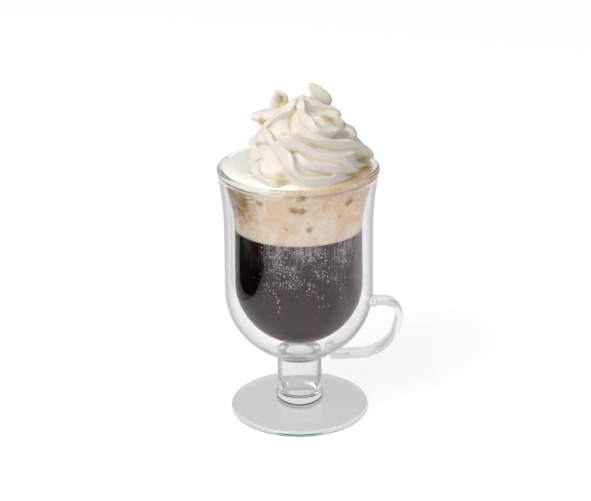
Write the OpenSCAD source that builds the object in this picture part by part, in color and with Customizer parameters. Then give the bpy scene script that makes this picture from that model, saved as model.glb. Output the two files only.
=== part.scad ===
// Footed, double-walled glass mug for Irish coffee, with its drink in it.
// Z is up. The origin is the centre of the foot's underside, and the handle points along +X.
// The glass pieces are blown or pressed, then flame-fused where they meet.

/* [Foot] */
// Diameter of the foot disc
foot_d = 75.5; // [62:0.5:90]
// Thickness of the foot disc
foot_t = 3.2; // [2.4:0.1:5]

/* [Stem] */
// Length of the stem, from the foot's top to the lowest point of the shell
stem_len = 28.7; // [18:0.1:45]
// Diameter of the stem tube
stem_d = 24; // [16:0.1:30]
// Wall of the stem tube
stem_wall = 2.2; // [1.2:0.1:3.5]
// How far the swelling at the stem's lower end stands out from the tube
swell_proud = 0.8; // [0:0.1:2.5]
// Height of the widest place of the swelling above the foot
swell_h = 4.2; // [3:0.1:6]
// How far the round lower end draws in from the swelling to its seat on the foot
seat_inset = 2.1; // [0.5:0.1:3]
// Solid glass under the stem's hollow
stem_floor = 4.4; // [3:0.1:7]

/* [Outer shell] */
// Diameter of the shell at its belly
belly_d = 79.6; // [72:0.1:88]
// Diameter of the shell at its waist
waist_d = 79; // [72:0.1:86]
// Depth of the shell's rounded bottom
shell_depth = 38.5; // [34:0.1:44]
// Height of the waist above the belly
waist_rise = 35.5; // [28:0.1:42]
// Height of the cup, from the shell's lowest point to the top of the rim
cup_h = 108.1; // [100:0.1:125]
// Wall of the shell
shell_wall = 1.5; // [1:0.1:2.2]

/* [Rim] */
// Diameter of the rim
rim_d = 85; // [82:0.1:94]
// Height of the rolled lip above the shell's top edge
lip_h = 3.5; // [2.5:0.1:5]
// How far the lip stands out past the shell below it
lip_proud = 0.35; // [0.1:0.05:0.8]

/* [Inner bowl] */
// Air gap between bowl and shell at the belly
belly_gap = 4.1; // [2:0.1:6]
// Air gap between bowl and shell at the waist
waist_gap = 4.2; // [2:0.1:6]
// Air gap between bowl and shell at the bottom
base_gap = 7.9; // [4:0.1:12]
// Depth of the bowl's rounded bottom
bowl_depth = 34.5; // [30:0.1:38]
// Wall of the bowl
bowl_wall = 1.5; // [1:0.1:2.2]

/* [Handle] */
// How far the handle stands out past the shell's belly
handle_out = 16.2; // [13:0.1:26]
// Width of the handle's strap, across the mug
strap_w = 9; // [7:0.1:14]
// Thickness of the strap
strap_t = 3.8; // [3:0.1:6]
// Height of the upper arm's middle above the shell's lowest point
upper_arm_h = 31.3; // [26:0.1:42]
// How far the lower arm's middle lies under the shell's lowest point, at the root
lower_arm_drop = 0.7; // [0.3:0.1:1.2]
// Bend radius of the upper corner, at the middle of the strap
corner_r = 8.5; // [6:0.1:12]
// Bend radius of the lower corner, at the middle of the strap
bend_r = 21.1; // [14:0.1:24]
// Lean of the grip towards the mug, in degrees
grip_lean = 12.2; // [4:0.1:20]
// Fall of the lower arm towards the stem, in degrees
arm_fall = 3.2; // [0:0.1:6]
// Gap between the lower root and the stem
root_gap = 2.6; // [1.5:0.1:5]
// Bend radius where the lower arm turns up into the shell, at the middle of the strap
root_r = 3; // [2.5:0.1:4]
// Flare of the fused roots all round the strap
flare = 0.9; // [0.3:0.1:1.5]
// Length over which a root flares
flare_len = 2.6; // [1:0.1:4]

/* [Vent seal] */
// Diameter of the sealed vent tip under the shell
vent_d = 2.8; // [2:0.1:4]
// How far the tip stands out from the shell
vent_proud = 1.5; // [0.8:0.1:2.5]
// Gap between the tip and the stem
vent_gap = 2.6; // [1.5:0.1:5]
// Turn of the tip from the handle, in degrees
vent_turn = -36; // [-80:1:-34]

/* [Drink] */
// Depth of the coffee's surface below the rim
coffee_drop = 32.8; // [20:0.1:60]
// Height of the cream layer's crown above the rim
crown_h = 2; // [0.5:0.1:5]
// Depth below the rim at which the cream layer leaves the glass
cream_drop = 1.8; // [1.8:0.1:4]
// Width of the rounded edge of the cream layer's crown
crown_edge = 5.8; // [3:0.1:8]
// Height of the whipped cream's peak above the cream layer
swirl_h = 36; // [25:0.5:55]
// Diameter of the whipped cream where it bulges most
swirl_d = 64; // [45:0.5:66]
// Diameter of the whipped cream where it sits on the cream layer
swirl_seat_d = 57; // [40:0.5:60]
// Depth of the flutes that the piping nozzle leaves
flute_depth = 2.6; // [1:0.1:4]
// Depth of the groove between two turns of the swirl
tier_depth = 3.2; // [1:0.1:5]
// Sideways offset of the whipped cream's seat, along X
swirl_dx = 6; // [-6:0.1:6]
// Sideways offset of the whipped cream's seat, along Y
swirl_dy = -6; // [-6:0.1:6]

/* [Hidden] */
$fn = 96;

// Steps of the rounded bottoms, of each half of the walls above them, and of small rounds
round_steps = 20;
wall_steps = 12;
edge_steps = 8;
// Shape of the flare between waist and rim: 2 is a parabola
shell_flare_power = 2.1;
bowl_flare_power = 2;
// Clearance between bowl and shell under the lip
lip_clearance = 0.15;
// Overrun of cuts, and of pieces that a cut trims
overrun = 3;

// Heights, from the table up
shell_base_z = foot_t + stem_len;
belly_z = shell_base_z + shell_depth;
waist_z = belly_z + waist_rise;
mug_h = shell_base_z + cup_h;
lip_seat_z = mug_h - lip_h;
bowl_base_z = shell_base_z + shell_wall + base_gap;
bowl_belly_z = bowl_base_z + bowl_depth;

// Radii
stem_r = stem_d / 2;
belly_r = belly_d / 2;
waist_r = waist_d / 2;
rim_r = rim_d / 2;
shell_top_r = rim_r - lip_proud;
bowl_r = belly_r - shell_wall - belly_gap;
bowl_waist_r = waist_r - shell_wall - waist_gap;
bowl_top_r = shell_top_r - shell_wall - lip_clearance;
mouth_r = bowl_top_r - bowl_wall;
lip_t = rim_r - mouth_r;

// Colours, as the mug shows them on a white ground
glass_tint = [0.84, 0.88, 0.9, 0.45];
rim_tint = [0.78, 0.83, 0.86, 0.5];
coffee_tint = [0.1, 0.06, 0.05];
layer_tint = [0.87, 0.76, 0.62];
cream_tint = [0.96, 0.94, 0.88];

// One side of a blown wall: an elliptic bottom, a soft waist and a flare up to the lip
function wall_curve(belly, depth, round_z, waist, neck_z, top, top_z, power) = concat(
    [for (i = [0:round_steps])
        let (a = 90 * i / round_steps)
        [belly * sin(a), round_z - depth * cos(a)]],
    [for (i = [1:wall_steps])
        let (s = i / wall_steps)
        [waist + (belly - waist) * (1 + cos(180 * s)) / 2, round_z + (neck_z - round_z) * s]],
    [for (i = [1:wall_steps])
        let (s = i / wall_steps)
        [waist + (top - waist) * pow(s, power), neck_z + (top_z - neck_z) * s]]);

// The same curve moved towards the axis by the wall's thickness, and ended at the point last
function inset(curve, wall, last) = concat(
    [for (i = [0:len(curve) - 2])
        let (ahead = curve[i + 1], behind = curve[max(i - 1, 0)],
             along = (ahead - behind) / norm(ahead - behind))
        [max(curve[i][0] - wall * along[1], 0), min(curve[i][1] + wall * along[0], last[1])]],
    [last]);

function reversed(list) = [for (i = [len(list) - 1:-1:0]) list[i]];

shell_outside = wall_curve(belly_r, shell_depth, belly_z, waist_r, waist_z,
                           shell_top_r, lip_seat_z, shell_flare_power);
shell_inside = inset(shell_outside, shell_wall, [shell_top_r - shell_wall, lip_seat_z]);
bowl_outside = wall_curve(bowl_r, bowl_depth, bowl_belly_z, bowl_waist_r, waist_z,
                          bowl_top_r, lip_seat_z, bowl_flare_power);
bowl_inside = inset(bowl_outside, bowl_wall, [mouth_r, lip_seat_z]);

// The whole space inside a curve, closed to the axis at its top
module filled(curve) {
    polygon(concat(curve, [[0, curve[len(curve) - 1][1]]]));
}

// The outer shell with its inside filled, which trims what is fused to it
module shell_body() {
    rotate_extrude() filled(shell_outside);
}

// Foot: a flat pressed disc with a fire-polished round edge
module foot() {
    color(glass_tint) rotate_extrude() {
        square([foot_d / 2 - foot_t / 2, foot_t]);
        translate([foot_d / 2 - foot_t / 2, foot_t / 2]) circle(d = foot_t);
    }
}

// Stem: a hollow tube with a thick rounded end, swollen where it was pressed on the foot
stem_ease_share = 1.6;
hollow_end_share = 0.5;
module stem_outline() {
    swell_r = stem_r + swell_proud;
    swell_z = foot_t + swell_h;
    ease_h = swell_h * stem_ease_share;
    under = [for (i = [0:edge_steps])
        let (a = 90 * i / edge_steps)
        [swell_r - seat_inset * (1 - sin(a)), foot_t + swell_h * (1 - cos(a))]];
    over = [for (i = [1:edge_steps])
        let (s = i / edge_steps)
        [stem_r + swell_proud * (1 + cos(180 * s)) / 2, swell_z + ease_h * s]];
    polygon(concat([[0, foot_t]], under, over, [[stem_r, belly_z], [0, belly_z]]));
}

module stem_hollow() {
    hollow_r = stem_r - stem_wall;
    end_h = hollow_r * hollow_end_share;
    bottom = [for (i = [0:edge_steps])
        let (a = 90 * i / edge_steps)
        [hollow_r * sin(a), foot_t + stem_floor + end_h * (1 - cos(a))]];
    polygon(concat(bottom, [[hollow_r, belly_z + overrun], [0, belly_z + overrun]]));
}

module stem() {
    color(glass_tint) rotate_extrude() difference() {
        stem_outline();
        stem_hollow();
        filled(shell_outside);
    }
}

// Outer shell: blown, closed at the bottom, open at the top edge that the lip sits on
module outer_shell() {
    color(glass_tint) rotate_extrude()
        polygon(concat(shell_outside, reversed(shell_inside)));
}

// Inner bowl: blown, with a lip rolled outwards over the shell's top edge
module inner_bowl() {
    bead_z = mug_h - lip_t / 2;
    color(rim_tint) rotate_extrude() {
        polygon(concat(bowl_outside, reversed(bowl_inside)));
        translate([mouth_r, lip_seat_z])
            square([shell_top_r - mouth_r, max(bead_z - lip_seat_z, lip_proud)]);
        intersection() {
            translate([rim_r - lip_t / 2, bead_z]) circle(d = lip_t);
            translate([0, lip_seat_z]) square([rim_r + overrun, lip_h + overrun]);
        }
    }
}

// Handle: one flattened glass cane, bent hot in the XZ plane and fused to the shell twice.
// Its middle line is an upper arm, a corner, a leaning grip, a wide bend, a lower arm that
// falls a little towards the stem, and a short turn up into the shell's underside.
upper_z = shell_base_z + upper_arm_h;
lower_z = shell_base_z - lower_arm_drop;
root_mid_x = stem_r + root_gap + strap_t / 2;
root_out_x = root_mid_x + strap_t / 2;
grip_out = [cos(grip_lean), -sin(grip_lean)];
grip_down = [-sin(grip_lean), -cos(grip_lean)];
arm_up = [-sin(arm_fall), cos(arm_fall)];
corner_at = [belly_r + handle_out - strap_t / 2 - corner_r, upper_z - corner_r];
// The lower bend is no wider than the room between the grip and the lower arm
arm_room = (corner_at - [root_mid_x, lower_z]) * arm_up;
widest_bend = (arm_room + corner_r * grip_out * arm_up) / (1 + grip_out * arm_up);
low_bend_r = min(bend_r, widest_bend);
bend_slide = (low_bend_r - arm_room - (corner_r - low_bend_r) * grip_out * arm_up)
    / (grip_down * arm_up);
bend_at = corner_at + (corner_r - low_bend_r) * grip_out + bend_slide * grip_down;
root_at = [root_mid_x + root_r, lower_z + root_r / cos(arm_fall) + root_r * tan(arm_fall)];

// Stations along the cane: the centre of the bend they lie on, its radius, the angle from
// that centre, and how far the cane has flared there. Straight runs lie between bends.
bend_steps = 12;
flare_steps = 5;
section_steps = 10;
function bend_stations(centre, radius, from, to) =
    [for (i = [0:bend_steps]) [centre, radius, from + (to - from) * i / bend_steps, 0]];
function shell_height(r) = belly_z - shell_depth * sqrt(1 - pow(r / belly_r, 2));
function shell_reach(z) = belly_r * sqrt(1 - pow(max(belly_z - z, 0) / shell_depth, 2));
arm_from_x = min(shell_reach(upper_z), corner_at[0] - flare_len);
upper_stations = [for (i = [0:flare_steps])
    let (s = i / flare_steps)
    [[arm_from_x + flare_len * s, corner_at[1]], corner_r, 90, flare * (1 + cos(180 * s)) / 2]];
lower_stations = [for (i = [1:flare_steps])
    let (s = i / flare_steps, top = shell_height(root_out_x))
    [[root_at[0], root_at[1] + (top - root_at[1]) * s], root_r, -180,
     flare * (1 - cos(180 * s)) / 2]];
cane_stations = concat(
    [[[arm_from_x - overrun, corner_at[1]], corner_r, 90, flare]],
    upper_stations,
    bend_stations(corner_at, corner_r, 90, -grip_lean),
    bend_stations(bend_at, low_bend_r, -grip_lean, arm_fall - 90),
    bend_stations(root_at, root_r, arm_fall - 90, -180),
    lower_stations,
    [[[root_at[0], shell_height(root_out_x) + overrun], root_r, -180, flare]]);

// Section of the cane at a station: flat sides with half-round edges
function cane_ring(station) =
    let (edge_r = strap_t / 2 + station[3], flat_w = strap_w - strap_t)
    [for (side = [1, -1], i = [0:section_steps])
        let (a = 180 * i / section_steps,
             thick = side * edge_r * cos(a), across = side * (flat_w / 2 + edge_r * sin(a)),
             r = station[1] + thick)
        [station[0][0] + r * cos(station[2]), across, station[0][1] + r * sin(station[2])]];

module cane() {
    rings = [for (station = cane_stations) cane_ring(station)];
    side_points = len(rings[0]);
    last = (len(rings) - 1) * side_points;
    faces = concat(
        [for (i = [0:len(rings) - 2], j = [0:side_points - 1])
            let (a = i * side_points + j, b = i * side_points + (j + 1) % side_points)
            each [[a, b, a + side_points], [b, b + side_points, a + side_points]]],
        [[for (j = [side_points - 1:-1:0]) j]],
        [[for (j = [0:side_points - 1]) last + j]]);
    polyhedron([for (ring = rings) each ring], faces);
}

module handle() {
    color(glass_tint) difference() {
        cane();
        shell_body();
    }
}

// Vent seal: the tip melted shut over the hole that let air out of the double wall
module vent_seal() {
    vent_x = stem_r + vent_gap + vent_d / 2;
    tip_z = shell_height(vent_x) + vent_d / 2 - vent_proud;
    color(rim_tint) difference() {
        rotate([0, 0, vent_turn]) translate([vent_x, 0, tip_z]) {
            sphere(d = vent_d, $fn = 32);
            cylinder(h = overrun, d = vent_d, $fn = 32);
        }
        shell_body();
    }
}

// Coffee: fills the bowl up to its surface and wets the glass
module coffee() {
    color(coffee_tint) rotate_extrude() intersection() {
        filled(bowl_inside);
        square([rim_r, mug_h - coffee_drop]);
    }
}

// Cream layer: loose cream that floats on the coffee, brimful and slightly crowned
cream_flat_z = mug_h + crown_h;
crown_from_z = mug_h - cream_drop;
module cream_layer() {
    crown = [for (i = [0:edge_steps])
        let (a = 90 * i / edge_steps)
        [mouth_r - crown_edge * (1 - cos(a)), crown_from_z + (cream_flat_z - crown_from_z) * sin(a)]];
    color(layer_tint) rotate_extrude() {
        intersection() {
            filled(bowl_inside);
            translate([0, mug_h - coffee_drop]) square([rim_r, cup_h]);
        }
        polygon(concat([[0, lip_seat_z], [mouth_r, lip_seat_z]], crown, [[0, cream_flat_z]]));
    }
}

// Whipped cream: piped with a star nozzle in a rising spiral, which leaves fins and ears.
// Each ring of points gives its distance from the swirl's axis at one height.
swirl_rings = 44;
ring_points = 64;
tiers = 3;
flutes = 9;
// Turn of the flutes from the seat to the peak, in degrees
flute_turn = 150;
swirl_taper = 0.36;
tier_pitch_power = 0.8;
// Height of the widest place and of the smooth peak, as shares of the swirl's height
bulge_share = 0.16;
peak_share = 0.25;
// Least radius between two ridges, as a share of the reach
core_share = 0.33;
function swell_at(s) = s < bulge_share
    ? swirl_seat_d / 2 + (swirl_d - swirl_seat_d) / 2 * sin(90 * s / bulge_share)
    : swirl_d / 2 * pow((1 - s) / (1 - bulge_share), swirl_taper);
function swirl_radius(s, a) =
    let (reach = swell_at(s), fade = min(1, (1 - s) / peak_share),
         groove = abs(cos(180 * tiers * pow(s, tier_pitch_power) - a / 2)),
         ridge = abs(cos(flutes / 2 * (a + flute_turn * s))))
    max(reach - fade * (tier_depth * groove + flute_depth * (1 - ridge)), reach * core_share);

// Fins that the nozzle pulled out of the swirl: place round it as a share of a turn, height as
// a share of the swirl's, reach outwards as a share of its greatest radius, lift as a share of
// its height, and half widths round it and up it as shares of a turn and of its height.
fin_shares = [
    // Left and right ear beside the peak
    [0.49, 0.87, -0.1, 0.26, 0.055, 0.09],
    [0.03, 0.87, -0.04, 0.31, 0.06, 0.09],
    // Fins of the middle turn, on the left and on the right
    [0.52, 0.64, 0.2, 0.09, 0.045, 0.08],
    [0.97, 0.66, 0.14, 0.11, 0.045, 0.08],
    // Fin of the lowest turn, on the right
    [0.96, 0.22, 0.11, 0.05, 0.07, 0.1]];
function round_share(share) = share - floor(share + 0.5);
function fin_weight(fin, s, a) =
    exp(-pow(round_share(a / 360 - fin[0]) / fin[4], 2) - pow((s - fin[1]) / fin[5], 2));
function fins_sum(s, a, part) = [for (fin = fin_shares) fin[part] * fin_weight(fin, s, a)]
    * [for (fin = fin_shares) 1];
function swirl_ring(i) =
    let (s = i / swirl_rings, shift = 1 - s)
    [for (j = [0:ring_points - 1])
        let (a = 360 * j / ring_points,
             r = swirl_radius(s, a) + swirl_d / 2 * fins_sum(s, a, 2),
             h = s + fins_sum(s, a, 3))
        [swirl_dx * shift + r * cos(a), swirl_dy * shift + r * sin(a), cream_flat_z + swirl_h * h]];
module whipped_cream() {
    points = concat([for (i = [0:swirl_rings - 1]) each swirl_ring(i)],
                    [[swirl_dx, swirl_dy, cream_flat_z], [0, 0, cream_flat_z + swirl_h]]);
    seat = len(points) - 2;
    peak = len(points) - 1;
    last = (swirl_rings - 1) * ring_points;
    faces = concat(
        [for (i = [0:swirl_rings - 2], j = [0:ring_points - 1])
            let (a = i * ring_points + j, b = i * ring_points + (j + 1) % ring_points)
            each [[a, a + ring_points, b], [b, a + ring_points, b + ring_points]]],
        [for (j = [0:ring_points - 1]) [seat, j, (j + 1) % ring_points]],
        [for (j = [0:ring_points - 1]) [peak, last + (j + 1) % ring_points, last + j]]);
    color(cream_tint) polyhedron(points, faces);
}

foot();
stem();
outer_shell();
inner_bowl();
handle();
vent_seal();
coffee();
cream_layer();
whipped_cream();
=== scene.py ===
import math

import bmesh
import bpy
import numpy as np
from mathutils import Matrix, Vector


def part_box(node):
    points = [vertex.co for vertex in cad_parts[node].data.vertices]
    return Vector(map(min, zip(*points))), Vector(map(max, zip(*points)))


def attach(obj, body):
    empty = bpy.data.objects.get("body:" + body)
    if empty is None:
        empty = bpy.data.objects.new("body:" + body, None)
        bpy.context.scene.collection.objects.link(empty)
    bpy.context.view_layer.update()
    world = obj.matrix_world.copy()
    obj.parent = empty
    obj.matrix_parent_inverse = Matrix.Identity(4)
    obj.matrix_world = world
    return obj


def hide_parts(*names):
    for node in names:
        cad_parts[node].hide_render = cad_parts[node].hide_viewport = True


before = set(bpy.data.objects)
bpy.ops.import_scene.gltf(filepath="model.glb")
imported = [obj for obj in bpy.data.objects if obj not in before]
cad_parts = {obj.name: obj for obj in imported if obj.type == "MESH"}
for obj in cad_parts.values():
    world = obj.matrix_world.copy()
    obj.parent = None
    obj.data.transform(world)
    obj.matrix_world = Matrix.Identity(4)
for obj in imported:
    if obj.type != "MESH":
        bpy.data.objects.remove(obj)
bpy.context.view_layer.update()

# Every length is in metres, and MM turns millimetres into them
MM = 0.001

# The viewpoint: a long lens at the height of a seated guest, looking a little down on the mug.
# Its distance, tilt and lens come from the outlines of rim and foot in the photograph.
camera_aim = Vector((-1.72, 0, 92.31)) * MM
camera_distance = 805.94 * MM
camera_tilt = math.radians(21.33)
camera_roll = math.radians(-0.44)
camera_lens_mm = 92.17
camera_back = Vector((0, -math.cos(camera_tilt), math.sin(camera_tilt)))
camera_data = bpy.data.cameras.new("viewpoint")
camera_data.lens = camera_lens_mm
camera_data.clip_start = 10 * MM
viewpoint = bpy.data.objects.new("viewpoint", camera_data)
bpy.context.collection.objects.link(viewpoint)
camera_place = Matrix.Translation(camera_aim + camera_back * camera_distance)
camera_turn = camera_back.to_track_quat("Z", "Y").to_matrix().to_4x4()
viewpoint.matrix_world = camera_place @ camera_turn @ Matrix.Rotation(camera_roll, 4, "Z")
bpy.context.scene.camera = viewpoint
bpy.context.scene.view_settings.view_transform = "Standard"


# Nodes are written as sums: a Wire is one output of a node, and a Finish is one material or
# world, whose node method makes any node that isn't a sum.
class Wire:
    def __init__(self, finish, socket):
        self.finish = finish
        self.socket = socket

    def maths(self, operation, *values):
        inputs = dict(enumerate(values))
        return self.finish.node("ShaderNodeMath", {"operation": operation}, inputs)

    def __add__(self, other):
        return self.maths("ADD", self, other)

    def __radd__(self, other):
        return self.maths("ADD", other, self)

    def __sub__(self, other):
        return self.maths("SUBTRACT", self, other)

    def __rsub__(self, other):
        return self.maths("SUBTRACT", other, self)

    def __mul__(self, other):
        return self.maths("MULTIPLY", self, other)

    def __rmul__(self, other):
        return self.maths("MULTIPLY", other, self)

    def __neg__(self):
        return self.maths("MULTIPLY", self, -1)

    def __truediv__(self, other):
        return self.maths("DIVIDE", self, other)

    def __rtruediv__(self, other):
        return self.maths("DIVIDE", other, self)

    def __pow__(self, other):
        return self.maths("POWER", self, other)

    def __rpow__(self, other):
        return self.maths("POWER", other, self)

    def larger(self, other):
        return self.maths("MAXIMUM", self, other)

    def size(self):
        return self.maths("ABSOLUTE", self)

    def near(self, value, slack):
        """1 where it is within slack of the value, and 0 elsewhere."""
        return self.maths("COMPARE", self, value, slack)

    def above(self, low, high):
        """0 under low, 1 over high, and smooth between them."""
        settings = {"interpolation_type": "SMOOTHSTEP"}
        return self.finish.node("ShaderNodeMapRange", settings, {0: self, 1: low, 2: high})


class Finish:
    def __init__(self, owner):
        owner.use_nodes = True
        self.owner = owner
        self.tree = owner.node_tree
        self.tree.nodes.clear()

    def node(self, kind, settings=None, inputs=None, out=0):
        """Any node: its settings are set first, then its sockets get values or links."""
        made = self.tree.nodes.new(kind)
        for name, value in (settings or {}).items():
            setattr(made, name, value)
        for name, value in (inputs or {}).items():
            socket = made.inputs[name]
            if isinstance(value, Wire):
                self.tree.links.new(value.socket, socket)
            elif socket.type == "RGBA":
                socket.default_value = (*value, 1)
            else:
                socket.default_value = value
        return Wire(self, made.outputs[out]) if made.outputs else None

    def blend(self, share, first, second):
        """Two colours mixed: first where share is 0, second where it is 1. A Mix node's
        sockets 6 and 7 take the colours, and its output 2 gives their mix."""
        settings = {"data_type": "RGBA"}
        return self.node("ShaderNodeMix", settings, {0: share, 6: first, 7: second}, 2)

    def place(self, stretch=(1, 1, 1)):
        """Object coordinates in metres, times stretch."""
        where = self.node("ShaderNodeTexCoord", out="Object")
        return self.node("ShaderNodeVectorMath", {"operation": "MULTIPLY"}, {0: where, 1: stretch})

    def axes(self):
        """Object coordinates in metres, as three numbers."""
        where = self.node("ShaderNodeTexCoord", out="Object")
        return [self.node("ShaderNodeSeparateXYZ", None, {0: where}, i) for i in range(3)]

    def noise(self, where, scale, detail=3, roughness=0.5, distortion=0):
        inputs = {"Vector": where, "Scale": scale, "Detail": detail,
                  "Roughness": roughness, "Distortion": distortion}
        return self.node("ShaderNodeTexNoise", None, inputs)

    def end(self, shader, volume=None):
        sink = "World" if isinstance(self.owner, bpy.types.World) else "Material"
        inputs = {"Surface": shader}
        if volume is not None:
            inputs["Volume"] = volume
        self.node("ShaderNodeOutput" + sink, None, inputs)
        return self.owner

    def path(self, name):
        """What the path of light that ends here has met before."""
        return self.node("ShaderNodeLightPath", out=name)

    def plainly_seen(self):
        """1 for what the camera sees straight, in a mirror or through glass."""
        mirrored = self.path("Is Glossy Ray")
        return self.path("Is Camera Ray").larger(mirrored).larger(self.path("Is Transmission Ray"))

    def counted(self, kind):
        """1 on a path that has bounced this way at least once."""
        times = self.path(kind + " Depth")
        return times.maths("GREATER_THAN", times, 0.5)

    def first_mirrored(self):
        """1 on a path that has been mirrored and hasn't met a dull surface yet."""
        return self.counted("Glossy") * (1 - self.counted("Diffuse"))

    def left_glass(self, faces, slack):
        """1 on a path that has just left the glass and crossed about so many of its faces."""
        crossed = self.path("Transmission Depth").near(faces, slack)
        return crossed * self.path("Is Transmission Ray")


# The room: white walls that light the mug evenly. Glass keeps the lamp's light from the drink,
# so a path that leaves the drink through both walls, the lip or the foot finds a room of
# another brightness, by how many faces of glass it has crossed, give or take a few.
room_light = 0.5
light_in_drink, drink_faces = 2.65, (6, 1.1)
light_in_lip, lip_faces = 1.5, (2.5, 0.6)
light_in_foot, foot_faces = 0.3, (4, 0.4)
room_tint = (0.97, 0.985, 1)
# A mirror shows the walls dim up to one height and white from another on
low_wall = 0.16
wall_from, wall_to = 0.42, 0.72
room = Finish(bpy.data.worlds.new("white_room"))
bpy.context.scene.world = room.owner
towards = room.node("ShaderNodeTexCoord", out="Generated")
upwards = room.node("ShaderNodeSeparateXYZ", None, {0: towards}, 2)
mirror_level = low_wall + (1 - low_wall) * upwards.above(wall_from, wall_to)
lit_once = room.counted("Diffuse")
lit_level = (room_light
             + room.left_glass(*drink_faces) * (light_in_drink - room_light)
             + room.left_glass(*lip_faces) * (light_in_lip - room_light)
             + room.left_glass(*foot_faces) * (light_in_foot - room_light))
mirrored = room.counted("Glossy")
seen_level = mirrored * mirror_level + (1 - mirrored)
lit = room.node("ShaderNodeBackground", None, {"Color": room_tint, "Strength": lit_level})
seen = room.node("ShaderNodeBackground", None, {"Color": (1, 1, 1), "Strength": seen_level})
room.end(room.node("ShaderNodeMixShader", None, {0: lit_once, 1: seen, 2: lit}))


def stand(name, mesh):
    """Puts a mesh or a lamp into the scene."""
    thing = bpy.data.objects.new(name, mesh)
    bpy.context.collection.objects.link(thing)
    return thing


def sheet(name, corners, finish):
    """A flat thing with four corners."""
    mesh = bpy.data.meshes.new(name)
    mesh.from_pydata(corners, [], [(0, 1, 2, 3)])
    mesh.materials.append(finish)
    return stand(name, mesh)


# The table: a wide white top under the mug. What is seen of it glows up to the photograph's
# white and keeps the mug's shadow, and a reflection shows it dimmer.
table_half = 3
table_drop = 0.05 * MM
table_albedo = (0.82, 0.82, 0.82)
table_shade = (0.42, 0.42, 0.42)
table_glow = 0.72
mirrored_table = (0.36, 0.32, 0.335)
top = Finish(bpy.data.materials.new("white_table"))
plain = top.node("ShaderNodeBsdfDiffuse", None, {"Color": table_albedo})
shaded = top.node("ShaderNodeBsdfDiffuse", None, {"Color": table_shade})
drink_share = top.left_glass(*drink_faces) * (light_in_drink - 1)
lip_share = top.left_glass(*lip_faces) * (light_in_lip - 1)
glow_level = table_glow + top.counted("Diffuse") * (drink_share + lip_share)
glow_tint = top.blend(top.first_mirrored(), (1, 1, 1), mirrored_table)
glow = top.node("ShaderNodeEmission", None, {"Color": glow_tint, "Strength": glow_level})
shown = top.node("ShaderNodeAddShader", None, {0: shaded, 1: glow})
top.end(top.node("ShaderNodeMixShader", None, {0: top.plainly_seen(), 1: plain, 2: shown}))
table_corners = [(x * table_half, y * table_half, -table_drop)
                 for x, y in ((-1, -1), (1, -1), (1, 1), (-1, 1))]
table = sheet("table", table_corners, top.owner)


# The dark card: a strip of black card that stands on the table at the left. Only reflections
# show it, and in the coffee it is the black patch at the left.
card_near, card_far = (-0.235, -0.25), (-0.188, 0.12)
card_h = 41 * MM
card_black = (0.01, 0.01, 0.01)
card = Finish(bpy.data.materials.new("dark_card"))
clear = card.node("ShaderNodeBsdfTransparent")
black = card.node("ShaderNodeBsdfDiffuse", None, {"Color": card_black})
card.end(card.node("ShaderNodeMixShader", None, {0: card.first_mirrored(), 1: clear, 2: black}))
card_corners = [(*card_near, 0), (*card_far, 0), (*card_far, card_h), (*card_near, card_h)]
dark_card = sheet("dark_card", card_corners, card.owner)


# The lamp: one large soft light, nearly a metre square, at the upper left and in front of the
# mug. The camera doesn't see it.
lamp_width = 0.9
lamp_power = 13
lamp_colour = (1, 0.985, 0.95)
lamp_place = Vector((-0.75, -0.85, 1.15))
lamp_aim = Vector((0, 0, 0.12))
lamp_data = bpy.data.lights.new("soft_lamp", "AREA")
lamp_data.shape = "SQUARE"
lamp_data.size = lamp_width
lamp_data.energy = lamp_power
lamp_data.color = lamp_colour
lamp = stand("soft_lamp", lamp_data)
lamp.matrix_world = (Matrix.Translation(lamp_place)
                     @ (lamp_place - lamp_aim).to_track_quat("Z", "Y").to_matrix().to_4x4())
lamp.visible_camera = False


# The glass: six pieces of clear borosilicate, pressed, blown or bent, then fused in a flame
# into one. It is turned here as one skin with two sealed hollows, in the stem and between
# the walls, and the handle is fused on after. A lip is rolled over where the walls meet.
glass_nodes = ("foot", "stem", "outer_shell", "inner_bowl", "handle", "vent_seal")
low, high = {}, {}
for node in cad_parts:
    low[node], high[node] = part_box(node)

foot_r = high["foot"].x
foot_t = high["foot"].z
swell_r = high["stem"].x
stem_r = 12 * MM
stem_wall = 2.2 * MM
stem_floor = 4.4 * MM
swell_h = 4.2 * MM
swell_ease = 6.7 * MM
seat_inset = 2.1 * MM
shell_base = low["outer_shell"].z
shell_wall = 1.5 * MM
belly_r = 39.8 * MM
belly_z = shell_base + 38.5 * MM
waist_r = 39.5 * MM
waist_z = belly_z + 35.5 * MM
shell_flare = 2.1
lip_seat = high["outer_shell"].z
shell_top_r = high["outer_shell"].x
rim_r = high["inner_bowl"].x
mug_h = high["inner_bowl"].z
bowl_wall = 1.5 * MM
bowl_base = low["inner_bowl"].z
bowl_r = 34.2 * MM
bowl_belly_z = bowl_base + 34.5 * MM
bowl_waist_r = 33.8 * MM
bowl_flare = 2
bowl_gap = 0.15 * MM
bowl_top_r = shell_top_r - shell_wall - bowl_gap
mouth_r = bowl_top_r - bowl_wall
lip_r = (rim_r - mouth_r) / 2
lip_rise = 1.35 * MM
# The walls end a little under the lip's seat, and the gap between them runs on by itself
walls_end = lip_seat - 1 * MM
gap_top = lip_seat - 0.6 * MM
round_steps, wall_steps, edge_steps = 64, 24, 12


def quarter(steps):
    """Angles from 0 to a quarter turn."""
    return [math.pi / 2 * i / steps for i in range(steps + 1)]


def shares(steps):
    """Even shares of 1, without 0."""
    return [i / steps for i in range(1, steps + 1)]


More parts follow.
